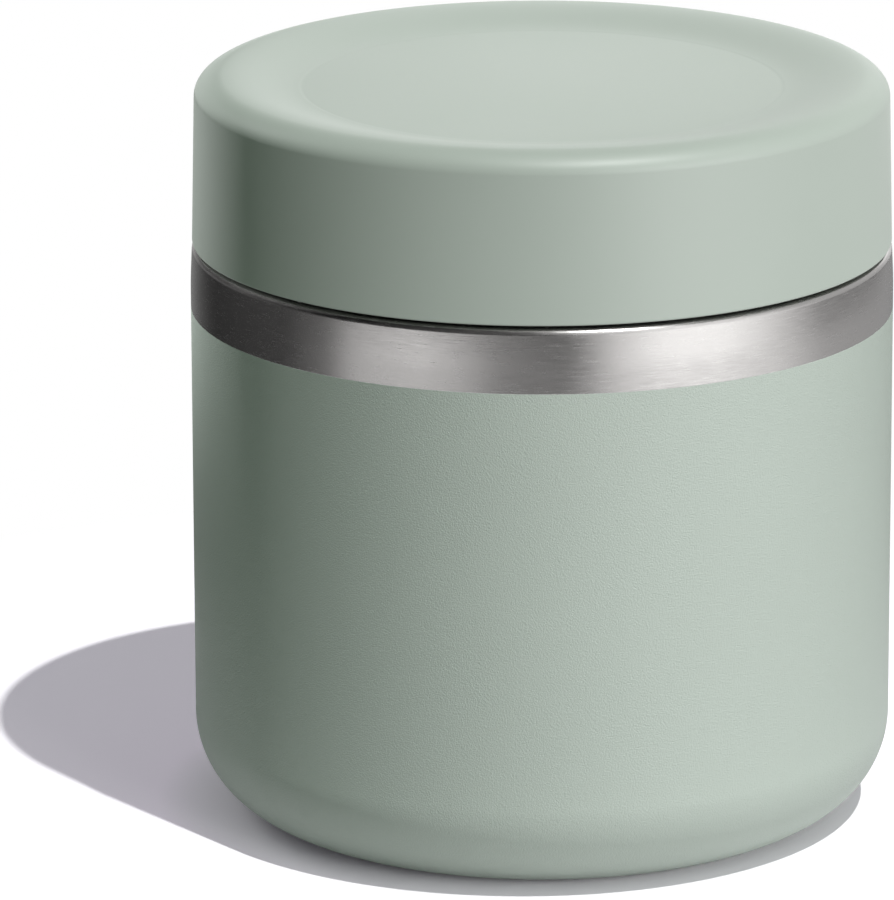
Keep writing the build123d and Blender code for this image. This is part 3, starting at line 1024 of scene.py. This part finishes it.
class FOODJAR_OT_enclosed_pieces(bpy.types.Operator):
    """Finishes of the pieces that stay enclosed in the jar and in the lid"""

    bl_idname = "food_jar.enclosed_pieces"
    bl_label = "Enclosed Pieces"

    def execute(self, context):
        looks = context.scene.jar_finishes
        finishes = {
            "heat_foil": foil_finish(looks),
            "vacuum_seal": solder_finish(looks),
            "getter": getter_finish(looks),
            "getter_clip": turned_finish("clip_finish", looks.steel, roughness=0.34),
            "lid_foam": foam_finish(looks),
        }
        for node, finish in finishes.items():
            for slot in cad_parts[node].material_slots:
                slot.material = finish
        return {"FINISHED"}


# --- studio ---

# Each lamp: azimuth from the camera's side to the right and elevation, both in degrees,
# distance, width and height in metres, and power in watts.
LAMPS = {
    "right_softbox": (46, 10, 1.1, 0.9, 0.5, 8.2),
    "back_left_softbox": (-120, 35, 1.1, 0.5, 0.5, 1.8),
}

# The sun's azimuth and elevation, its strength, its width in degrees and its distance.
SUN = (38.4, 63.8, 2.26, 0.8, 2)

# The spot that lights the lid's left rim: azimuth, elevation, distance in metres, power in
# watts, the cone's width in degrees and the lamp's radius in metres. It aims at a point to
# the left of the axis: the azimuth of that point, its radius and its height.
RIM_SPOT = (-145, -3, 0.9, 62, 8, 0.02)
RIM_AIM = (-55, 35 * MM, 114 * MM)

FLOOR_HALF_WIDTH = 6

# Rows of cards: lower and upper edge in millimetres, and the brightness by azimuth in degrees.
BRIGHTEST_CARD = 2.0
CARDS = {
    "low_cards": (
        (0, 68),
        (-180, 0.05), (-145, 0.25), (-128, 0.10), (-115, 0.03), (-75, 0.06), (-60, 0.20),
        (-52, 0.58), (-35, 0.63), (-22, 0.55), (-10, 0.24), (8, 0.22), (17, 0.58),
        (35, 0.78), (68, 0.85), (88, 0.50), (130, 0.37), (180, 0.05),
    ),
    "band_cards": (
        (68, 82),
        (-180, 1.10), (-155, 1.10), (-138, 0.20), (-120, 0.02), (-75, 0.06), (-60, 0.20),
        (-50, 0.80), (-32, 1.35), (-12, 0.50), (8, 0.10), (20, 0.90), (32, 1.40),
        (50, 1.45), (66, 0.85), (83, 0.20), (120, 0.10), (140, 0.40), (155, 1.10),
        (180, 1.10),
    ),
    "middle_cards": (
        (82, 112),
        (-180, 1.10), (-160, 1.00), (-148, 0.60), (-125, 0.15), (-60, 0.04), (0, 0.04),
        (32, 0.80), (66, 0.95), (90, 0.50), (120, 0.50), (150, 1.00), (180, 1.10),
    ),
    "high_cards": (
        (112, 230),
        (-180, 2.00), (-165, 1.60), (-148, 0.30), (-125, 0.06), (-60, 0.00), (0, 0.10),
        (20, 0.80), (60, 0.80), (80, 0.50), (125, 0.55), (150, 1.70), (180, 2.00),
    ),
    "top_cards": (
        (230, 600),
        (-180, 0.45), (-125, 0.10), (-60, 0.00), (0, 0.05), (20, 0.45), (60, 0.05),
        (100, 0.10), (180, 0.45),
    ),
}


def toward(azimuth, elevation):
    """Unit vector to an azimuth, 0 on the camera's side and growing to the right."""
    turned_to, raised = math.radians(azimuth), math.radians(elevation)
    level = math.cos(raised)
    return Vector((level * math.sin(turned_to), -level * math.cos(turned_to), math.sin(raised)))


def add_lamp(name, kind, direction, distance):
    """A lamp that shines on the jar's middle, as an object."""
    light = bpy.data.lights.new(name, kind)
    lamp = linked(name, light)
    lamp.location = direction * distance + Vector((0, 0, LID.top / 2))
    lamp.rotation_euler = direction.to_track_quat("Z", "Y").to_euler()
    return lamp


def stage_piece(name, shape, finish):
    """A part of the studio that isn't part of the jar."""
    piece = added(name, shape)
    piece.data.materials.append(finish)
    return piece


def seen_directly(look):
    """1 for rays from the camera and for mirrored or passing ones, 0 for scattered light."""
    camera = look.node("ShaderNodeLightPath", {}, output="Is Camera Ray")
    glossy = look.node("ShaderNodeLightPath", {}, output="Is Glossy Ray")
    passing = look.node("ShaderNodeLightPath", {}, output="Is Transmission Ray")
    return camera + glossy + passing


def grown(finish, place, start, end):
    """0 at a radius, and 1 from a larger one on."""
    growth = (finish.from_axis(place) - start) * (1 / (end - start))
    return finish.node("ShaderNodeClamp", {"Value": growth})


def floor_finish(studio):
    """Pale floor that keeps the jar's shadow and lights the jar only a little, with painted shade
    round the jar's foot where its glow fades.
    """
    floor = material("floor_finish")
    place = floor.place()
    # Painted contact shade: the glow fades out towards the jar's foot, darkening the floor round
    # it.
    full = grown(floor, place, studio.painted_shade_inner_radius, studio.painted_shade_outer_radius)
    glow = floor.mixed(full, (0, 0, 0, 1), (*studio.floor_glow, 1))
    pale = floor.node("ShaderNodeBsdfDiffuse", {"Color": (*studio.floor, 1)})
    shown = floor.node("ShaderNodeAddShader", {0: pale, 1: floor.glow(glow)})
    white = floor.glow((1, 1, 1, 1))
    faded = grown(floor, place, studio.white_from, studio.white_beyond)
    pictured = floor.node("ShaderNodeMixShader", {0: faded, 1: shown, 2: white})
    away = grown(floor, place, studio.bounce_from, studio.bounce_to)
    ahead = floor.node(
        "ShaderNodeVectorMath",
        {0: place, 1: toward(math.degrees(studio.front), 0)},
        output="Value",
        operation="DOT_PRODUCT",
    )
    in_front = floor.node("ShaderNodeClamp", {"Value": ahead * (0.5 / studio.bounce_to) + 0.5})
    far = floor.mixed(in_front, (*studio.back_bounce, 1), (*studio.front_bounce, 1))
    tint = floor.mixed(away, (*studio.near_bounce, 1), far)
    bounce = floor.node("ShaderNodeBsdfDiffuse", {"Color": tint})
    look = floor.node("ShaderNodeMixShader", {0: seen_directly(floor), 1: bounce, 2: pictured})
    floor.node("ShaderNodeOutputMaterial", {"Surface": look})
    return floor.owner


def card_finish(name, cards):
    """Brightness of a row of cards, by the azimuth round the jar's axis."""
    card = material(name)
    point = card.node("ShaderNodeTexCoord", {}, output="Object")
    across = card.node("ShaderNodeSeparateXYZ", {"Vector": point}, output="X")
    depth = card.node("ShaderNodeSeparateXYZ", {"Vector": point}, output="Y")
    azimuth = card.node("ShaderNodeMath", {0: across, 1: 0 - depth}, operation="ARCTAN2")
    place = azimuth * (1 / FULL_TURN) + 0.5
    stops = [(0.5 + degrees / 360, (bright / BRIGHTEST_CARD,) * 3) for degrees, bright in cards]
    tone = card.node("ShaderNodeValToRGB", {"Fac": place}, stops=stops)
    card.node("ShaderNodeOutputMaterial", {"Surface": card.glow(tone, BRIGHTEST_CARD)})
    return card.owner


class FOODJAR_OT_studio(bpy.types.Operator):
    """Camera, floor, cards, lamps and surroundings"""

    bl_idname = "food_jar.studio"
    bl_label = "Studio"

    def execute(self, context):
        studio = context.scene.jar_studio
        self.add_camera(context, studio)
        self.add_floor(studio)
        self.add_cards(studio)
        self.add_lamps()
        self.set_surroundings(context, studio)
        context.scene.view_settings.view_transform = "Standard"
        return {"FINISHED"}

    def add_camera(self, context, studio):
        """A long lens that looks down on the jar from the front."""
        lens = bpy.data.cameras.new("camera")
        longest = max(PHOTO_WIDTH, PHOTO_HEIGHT)
        lens.sensor_width = SENSOR_SIZE
        lens.lens = studio.focal * SENSOR_SIZE / longest
        lens.shift_x = (PHOTO_WIDTH / 2 - studio.axis_column) / longest
        camera = linked("camera", lens)
        direction = toward(0, math.degrees(studio.pitch))
        camera.location = direction * studio.distance + Vector((0, 0, studio.target))
        camera.rotation_euler = (math.pi / 2 - studio.pitch, 0, 0)
        context.scene.camera = camera

    def add_floor(self, studio):
        """A wide floor under the jar."""
        ground = bmesh.new()
        bmesh.ops.create_grid(ground, x_segments=1, y_segments=1, size=FLOOR_HALF_WIDTH)
        stage_piece("floor", ground, floor_finish(studio))

    def add_cards(self, studio):
        """Rows of cards round the jar that only its gloss picks up."""
        for name, ((bottom, top), *brightness) in CARDS.items():
            ring = bmesh.new()
            low = ring.verts.new((studio.card_radius, 0, bottom * MM))
            high = ring.verts.new((studio.card_radius, 0, top * MM))
            ring.edges.new((low, high))
            turn(ring)
            cards = stage_piece(name, ring, card_finish(name + "_finish", brightness))
            cards.visible_camera = False
            cards.visible_diffuse = False
            cards.visible_shadow = False
            cards.visible_transmission = False

    def add_lamps(self):
        """The soft lamps, the sun that casts the jar's shadow, and the spot on the lid's rim."""
        for name, (azimuth, elevation, distance, width, height, power) in LAMPS.items():
            light = add_lamp(name, "AREA", toward(azimuth, elevation), distance).data
            light.shape = "RECTANGLE"
            light.size = width
            light.size_y = height
            light.energy = power
        azimuth, elevation, strength, spread, distance = SUN
        sun = add_lamp("sun", "SUN", toward(azimuth, elevation), distance).data
        sun.energy = strength
        sun.angle = math.radians(spread)
        azimuth, elevation, distance, power, cone, radius = RIM_SPOT
        spot = add_lamp("rim_spot", "SPOT", toward(azimuth, elevation), distance)
        spot.data.energy = power
        spot.data.spot_size = math.radians(cone)
        spot.data.spot_blend = 1.0
        spot.data.shadow_soft_size = radius
        aside, away, height = RIM_AIM
        spot.location += toward(aside, 0) * away + Vector((0, 0, height - LID.top / 2))
        spot.visible_glossy = False

    def set_surroundings(self, context, studio):
        """White surroundings for the camera and for gloss, and an even soft light."""
        context.scene.world = bpy.data.worlds.new("surroundings")
        look = Finish(context.scene.world)
        tint = look.mixed(seen_directly(look), (*studio.ambient, 1), (1, 1, 1, 1))
        sky = look.node("ShaderNodeBackground", {"Color": tint, "Strength": 1.0})
        look.node("ShaderNodeOutputWorld", {"Surface": sky})


class FOODJAR_PT_sidebar(bpy.types.Panel):
    """Lists the jar's operators and settings"""

    bl_idname = "FOODJAR_PT_sidebar"
    bl_label = "Food Jar"
    bl_space_type = "VIEW_3D"
    bl_region_type = "UI"
    bl_category = "Food Jar"

    def draw(self, context):
        for step in STEPS:
            self.layout.operator(step.bl_idname)
        for name, group in SETTINGS.items():
            box = self.layout.box()
            for setting in group.__annotations__:
                box.prop(getattr(context.scene, name), setting)


STEPS = (
    FOODJAR_OT_body_coat,
    FOODJAR_OT_steel_shell,
    FOODJAR_OT_food_vessel,
    FOODJAR_OT_base,
    FOODJAR_OT_lid_cover,
    FOODJAR_OT_lid_inner,
    FOODJAR_OT_plug_facing,
    FOODJAR_OT_gasket,
    FOODJAR_OT_enclosed_pieces,
    FOODJAR_OT_studio,
)


def register():
    """Register the classes and hang the settings on the scene."""
    for kind in (*SETTINGS.values(), *STEPS, FOODJAR_PT_sidebar):
        bpy.utils.register_class(kind)
    for name, group in SETTINGS.items():
        setattr(bpy.types.Scene, name, bpy.props.PointerProperty(type=group))


def unregister():
    """Undo what register did, in the opposite order."""
    for name in SETTINGS:
        delattr(bpy.types.Scene, name)
    for kind in reversed((*SETTINGS.values(), *STEPS, FOODJAR_PT_sidebar)):
        bpy.utils.unregister_class(kind)


def main():
    """Register the classes, then build every piece and the studio."""
    register()
    for step in STEPS:
        getattr(bpy.ops.food_jar, step.bl_idname.removeprefix("food_jar."))()


if __name__ == "__main__":
    main()
